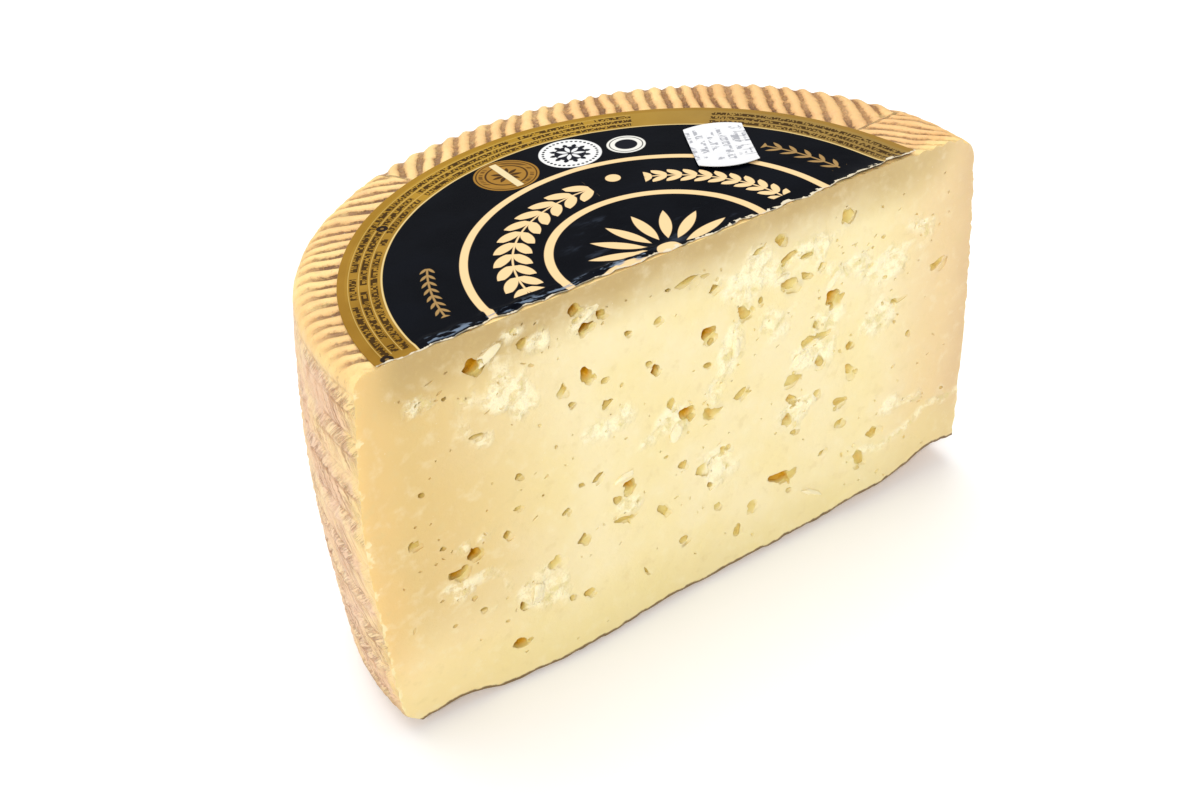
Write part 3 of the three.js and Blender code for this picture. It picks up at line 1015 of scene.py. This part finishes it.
def paste_material():
    graph = Graph("paste", Subsurface_Weight=0.22, Subsurface_Scale=0.0025, Specular_IOR_Level=0.28)
    graph.set(Subsurface_Radius=(1.0, 0.85, 0.4))
    x, _, z = graph.parts(graph.place)
    clouds = graph.noise(24, 3)
    mottle = graph.noise(4, 4, 0.55)
    lumps = graph.noise(2.6, 3, 0.5)
    grain = graph.noise(0.8, 3, 0.6)
    ridges = graph.noise(1.6, 4, 0.6)
    paint_paste(graph, x, z, clouds)
    graph.wash(mottle, 0.5, 0.8, 0.3, (240, 230, 194))
    graph.wash(mottle, 0.44, 0.26, 0.3, (214, 192, 134))
    rim = (graph.value("from_wall") + lumps * 8.0).step(4.8, 4.0)
    crumbs = rim * x.step(20, -20) * mottle.step(0.42, 0.6)
    graph.tint(crumbs * 0.7, (242, 228, 182))
    paint_torn(graph, lumps, ridges)
    deep = graph.value("deep")
    # Painted shade deep in the eyes and pits: the paste darker and more amber the deeper it lies behind
    # the cut, partly the eyes' own amber
    graph.wash(deep, 0.15, 0.9, 0.7, (214, 192, 100))
    graph.wash(deep, 0.8, 2.6, 1, (206, 152, 16))
    graph.wash(grain, 0.7, 0.78, 0.5, (245, 240, 218))
    # A thin dark brown line along the cut's lower edge: the base's rind seen edge on, and painted shadow
    # of the gap under the edge
    low = graph.value("from_base") + (lumps - 0.5) * 1.4
    graph.wash(low, 1.0, 0.5, 0.9, (96, 68, 38))
    fine = mottle * 0.5 + grain * 0.12
    height = fine + graph.value("torn") * ridges * 1.5
    rough = mottle.step(0.3, 0.7, 0.36, 0.48)
    return graph.finish(Roughness=rough, Normal=graph.bump(height, 0.6, 0.7))


# ---- the print

# In millimetres from the label's centre and degrees from +X
FIELD_RADIUS = 66.4  # the dark field, with the gold band around it
BAND_RIM = 1.8
OUTER_RING = (46.5, 48.5)
INNER_RING = (26.4, 28.6)
DOT = (10.1, 37.2, 2.0)
GOLD_SEAL = (-10.0, 56.8, 8.6)
WHITE_SEAL = (9.4, 56.4, 8.4)
SMALL_SEAL = (23.8, 51.3, 5.2)
BAND_DOTS = [(-48.4, 51.8, 1.5), (-73.8, -1.2, 1.5)]
ROW_HEIGHT = 2.45
ROWS_FROM = 67.2
ROW_STRETCHES = [(62, 184), (-4, 44.5)]
# Start and end of each row of leaves, its radius, the leaves' pitch in degrees, length, half width
WREATHS = [(86, 176, 36.0, 8.6, 4.2, 1.5), (3, 63, 36.6, 6.0, 2.9, 1.0)]
SPRIGS = [(151, 174, 56.0, 3.2, 1.6, 0.42), (4, 28, 57.0, 4.4, 2.3, 0.55)]
LEAF_TILT = math.radians(34)
STEM = 0.25
# The flower's centre, petals, the petals' middle radius, length and half width, and its eye
FLOWER = ((0, -2), 15, 12.5, 7.0, 1.5)
FLOWER_EYE = 3.2
PRINT_SOFT = 0.12  # half width of the soft edge of a printed shape
PRINT_CELL = 0.36  # width of one mark of the small print
PRINT_WORD = 3.1
STICKER_ROW = 3.1
STICKER_DASH = 2.7


class PrintGraph(Graph):
    """A graph with the shapes that flat print is made of, each a mask from 0 to 1"""

    def __init__(self, name, centre, turn=0, **surface):
        super().__init__(name, **surface)
        spot = self.node("VectorMath", [self.place, (*centre, 0)], operation="SUBTRACT")
        turned = self.node("VectorRotate", {"Vector": spot, "Angle": -turn}, rotation_type="Z_AXIS")
        self.x, self.y, _ = self.parts(turned)
        self.spot = self.joined(self.x, self.y, 0.0)
        self.radius = self.node("VectorMath", [self.spot], "Value", operation="LENGTH")
        self.angle = self.math("DEGREES", self.math("ARCTAN2", self.y, self.x))

    def distance(self, x, y):
        return self.apart(self.spot, (x, y, 0))

    def chance(self, *cells):
        inputs = {"Vector": self.joined(*cells)}
        return self.node("TexWhiteNoise", inputs, "Value", noise_dimensions="3D")

    def leaf(self, along, across, length, width):
        bend = self.math("POWER", along / length, 2.0)
        edge = (1.0 - bend) * width
        return (abs(across) - edge).below(0.0)

    def wreath(self, start, end, middle, pitch, length, width):
        """Pairs of leaves along an arc, with a thin stem between them"""
        along = (self.angle / pitch).part() - 0.5
        along = along * (math.radians(pitch) * middle)
        out = abs(self.radius - middle) - length * 0.55
        cosine, sine = math.cos(LEAF_TILT), math.sin(LEAF_TILT)
        forward = along * cosine + out * sine
        aside = out * cosine - along * sine
        leaves = self.leaf(forward, aside, length, width)
        stem = self.radius.between(middle - STEM, middle + STEM)
        half = (end - start) / 2
        from_middle = abs(self.angle - (start + end) / 2)
        return either(leaves, stem) * from_middle.step(half + 0.1, half - 0.1)

    def rosette(self, centre, petals, middle, length, width):
        x = self.x - centre[0]
        y = self.y - centre[1]
        radius = self.distance(*centre)
        turn = self.math("ARCTAN2", y, x) * (petals / TURN)
        across = (turn.part() - 0.5) * (TURN / petals) * radius
        return self.leaf(radius - middle, across, length, width)

    def marks(self, row_place, along):
        """Rows of tiny marks in words, as small print looks from afar"""
        row = row_place.whole()
        part = row_place.part()
        cell = (along / PRINT_CELL).whole()
        level = (part * 3.4).whole()
        stroke = self.chance(cell, row + 31.5, level).above(0.34)
        word = (along / PRINT_WORD + row).whole()
        gap = self.chance(word, row + 53.0, 2.0).above(0.1)
        return stroke * gap * abs(part - 0.48).step(0.36, 0.3)


def dark_field(graph, film):
    """Blue black film, with painted glints on creases in the middle"""
    graph.ground(film.step(0.35, 0.7), (2, 4, 10), (6, 9, 17))
    creases = graph.noise(5, 4, 0.6, graph.stretched(graph.place, (0.35, 1.0, 1.0)))
    painted_crease_glint = creases.step(0.56, 0.72) * graph.radius.step(27, 20) * 0.5
    graph.tint(painted_crease_glint, (62, 70, 84))


def gold_band(graph, film):
    """Gold with rows of small print, darker at the rim and with a pale line around the field"""
    row_place = (graph.radius - ROWS_FROM) / ROW_HEIGHT
    along = graph.angle * math.radians(ROWS_FROM + 4)
    rows = graph.radius.between(ROWS_FROM, ROWS_FROM + 3 * ROW_HEIGHT)
    stretches = [graph.angle.between(*stretch) for stretch in ROW_STRETCHES]
    graph.ground(film.step(0.3, 0.7), (134, 98, 28), (158, 120, 44))
    graph.wash(graph.y, 35, 75, 0.7, (174, 136, 46))
    graph.wash(graph.x, 10, 70, 0.6, (150, 126, 74))
    rim = graph.radius.between(LABEL_RADIUS - BAND_RIM, LABEL_RADIUS + 2)
    graph.tint(rim * 0.5, (146, 106, 34))
    line = rows * row_place.part().step(0.9, 0.95) * stretches[0]
    graph.tint(line * 0.7, (206, 176, 104))
    print_marks = rows * either(*stretches) * graph.marks(row_place, along)
    graph.tint(print_marks * 0.95, (58, 38, 10))
    around_field = graph.radius.between(FIELD_RADIUS, FIELD_RADIUS + 0.45)
    graph.tint(around_field, (214, 188, 128))


def figures(graph):
    """Dots on the band, cream rings, wreaths and a flower, and sprigs in dull gold"""
    for x, y, size in BAND_DOTS:
        away = graph.distance(x, y)
        graph.tint(away.below(size), (36, 26, 20))
        graph.tint(away.below(size * 0.3), (130, 100, 50))
    cream = either(
        graph.radius.between(*OUTER_RING),
        graph.radius.between(*INNER_RING),
        graph.distance(*DOT[:2]).below(DOT[2]),
        *(graph.wreath(*wreath) for wreath in WREATHS),
        graph.rosette(*FLOWER),
        graph.distance(*FLOWER[0]).below(FLOWER_EYE),
    )
    graph.tint(cream, (230, 198, 148))
    sprigs = either(*(graph.wreath(*sprig) for sprig in SPRIGS))
    graph.tint(sprigs, (160, 128, 80))


def gold_seal(graph):
    x, y, size = GOLD_SEAL
    away = graph.distance(x, y)
    graph.tint(away.below(size), (156, 114, 46))
    rings = either(
        away.between(size * 0.90, size * 0.94),
        away.between(size * 0.60, size * 0.66),
        graph.rosette((x, y), 9, size * 0.28, size * 0.2, size * 0.07),
    )
    graph.tint(rings, (70, 46, 20))
    cell = ((graph.x + graph.y) * 1.6).whole()
    fleck = graph.chance(cell, 3.0, 1.0).above(0.5)
    ring_print = away.between(size * 0.72, size * 0.84) * fleck
    graph.tint(ring_print * 0.8, (84, 56, 24))
    band = away.below(size * 0.86) * graph.x.between(x - 1.0, x + 1.0)
    graph.tint(band, (220, 202, 158))


def white_seal(graph):
    x, y, size = WHITE_SEAL
    away = graph.distance(x, y)
    graph.tint(away.below(size), (224, 224, 222))
    dark = either(
        away.below(size * 0.50),
        graph.rosette((x, y), 12, size * 0.55, size * 0.12, size * 0.08),
        graph.rosette((x, y), 36, size * 0.86, size * 0.05, size * 0.05),
    )
    graph.tint(dark, (24, 26, 34))
    petals = graph.rosette((x, y), 7, size * 0.27, size * 0.2, size * 0.07)
    graph.tint(petals, (222, 222, 222))


def small_seal(graph):
    x, y, size = SMALL_SEAL
    away = graph.distance(x, y)
    graph.tint(away.below(size), (222, 220, 212))
    graph.tint(away.between(size * 0.82, size * 0.88), (60, 58, 54))
    graph.tint(away.below(size * 0.58), (20, 22, 30))


def torn_edge(graph):
    """White paper where the label tore along the cut, and glints on the crumpled film by it"""
    from_cut = graph.value("from_cut")
    streaks = graph.noise(1.1, 3, place=graph.stretched(graph.place, (0.3, 1.0, 1.0)))
    crumpled = from_cut.step(0.4, 1.0) * from_cut.step(3.2, 1.6) * graph.x.between(-64, -6)
    glint = crumpled * streaks.step(0.5, 0.62, 0, 0.8)
    graph.tint(glint, (122, 138, 158))
    shreds = graph.noise(2.2, 4).step(0.45, 0.66, 0, 1.4)
    reach = graph.x.step(-12, 0, 0.3, 0.85) * shreds
    graph.tint((from_cut - reach).below(0.0), (220, 208, 182))


def label_material():
    graph = PrintGraph("label_print", LABEL_CENTRE, IOR=1.08)
    film = graph.noise(14, 3)
    in_band = graph.radius.step(FIELD_RADIUS - 0.1, FIELD_RADIUS + 0.1)
    dark_field(graph, film)
    dark = graph.colour
    gold_band(graph, film)
    graph.colour = graph.mix(in_band, dark, graph.colour)
    for draw in (figures, gold_seal, white_seal, small_seal, torn_edge):
        draw(graph)
    creases = graph.noise(6, 4, 0.6) + film * 2.0
    rough = film.step(0.3, 0.7, 0.26, 0.4)
    return graph.finish(Roughness=rough, Normal=graph.bump(creases, 0.25, 0.35))


def sticker_material():
    graph = PrintGraph("sticker_paper", STICKER_CENTRE, STICKER_TURN, Specular_IOR_Level=0.3)
    graph.ground(graph.noise(5), (226, 226, 226), (218, 218, 220))
    marks = (
        graph.marks(graph.x / STICKER_ROW, graph.y)
        * graph.y.between(-9, 10)
        * graph.noise(4, 1).above(0.5)
    )
    graph.tint(marks * 0.65, (112, 114, 126))
    dash = ((graph.y + graph.noise(3)) / STICKER_DASH).part()
    dashes = abs(dash - 0.5).below(0.02) * graph.x.step(4.6, 5.4) * graph.y.between(-9, 9)
    graph.tint(dashes * 0.8, (74, 76, 88))
    fibres = graph.bump(graph.noise(0.5), 0.05, 0.3)
    return graph.finish(Roughness=0.6, Normal=fibres)


# ---- the stage

def add_floor():
    side = np.array([-FLOOR_SIZE, FLOOR_SIZE]) / MM
    corners = points_at(*np.meshgrid(side, side), 0).reshape(-1, 3)
    floor = make_object("floor", corners, grid_faces(2, 2))
    graph = Graph("floor_white", Specular_IOR_Level=0.0)
    graph.ground(graph.noise(200), (250, 250, 250), (248, 248, 249))
    floor.data.materials.append(graph.finish(Roughness=0.9))


def add_sun(name, toward, strength, spread):
    """Light from one side of the sky, as from a wide soft lamp far off"""
    light = bpy.data.lights.new(name, "SUN")
    light.energy = strength
    light.angle = math.radians(spread)
    lamp = add_object(name, light)
    lamp.rotation_euler = Vector(toward).to_track_quat("Z", "Y").to_euler()


def add_lights():
    world = bpy.data.worlds.new("studio")
    world.use_nodes = True
    background = world.node_tree.nodes["Background"]
    background.inputs["Color"].default_value = (1, 1, 1, 1)
    background.inputs["Strength"].default_value = SKY
    bpy.context.scene.world = world
    add_sun("key", *KEY_LIGHT)
    add_sun("top", *TOP_LIGHT)


def add_camera():
    yaw, pitch, roll = CAMERA_YAW, CAMERA_PITCH, CAMERA_ROLL
    ahead = Vector((
        math.sin(yaw) * math.cos(pitch),
        math.cos(yaw) * math.cos(pitch),
        -math.sin(pitch),
    ))
    right = Vector((math.cos(yaw), -math.sin(yaw), 0))
    up = right.cross(ahead)
    side = right * math.cos(roll) + up * math.sin(roll)
    top = up * math.cos(roll) - right * math.sin(roll)
    data = bpy.data.cameras.new("camera")
    data.lens = CAMERA_LENS
    camera = add_object("camera", data)
    turned = Matrix((side, top, -ahead)).transposed().to_4x4()
    camera.matrix_world = Matrix.Translation(Vector(CAMERA_PLACE) * MM) @ turned
    bpy.context.scene.camera = camera


# ---- the scene

add_camera()
add_lights()
add_floor()

cheese = cheese_piece([rind_material(), paste_material()])
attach(cheese, "root")
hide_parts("cheese")

label = label_piece()
label.data.materials.append(label_material())
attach(label, "root")
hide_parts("label")

sticker = sticker_piece()
sticker.data.materials.append(sticker_material())
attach(sticker, "root")
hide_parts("sticker")

bpy.context.scene.view_settings.view_transform = "Standard"
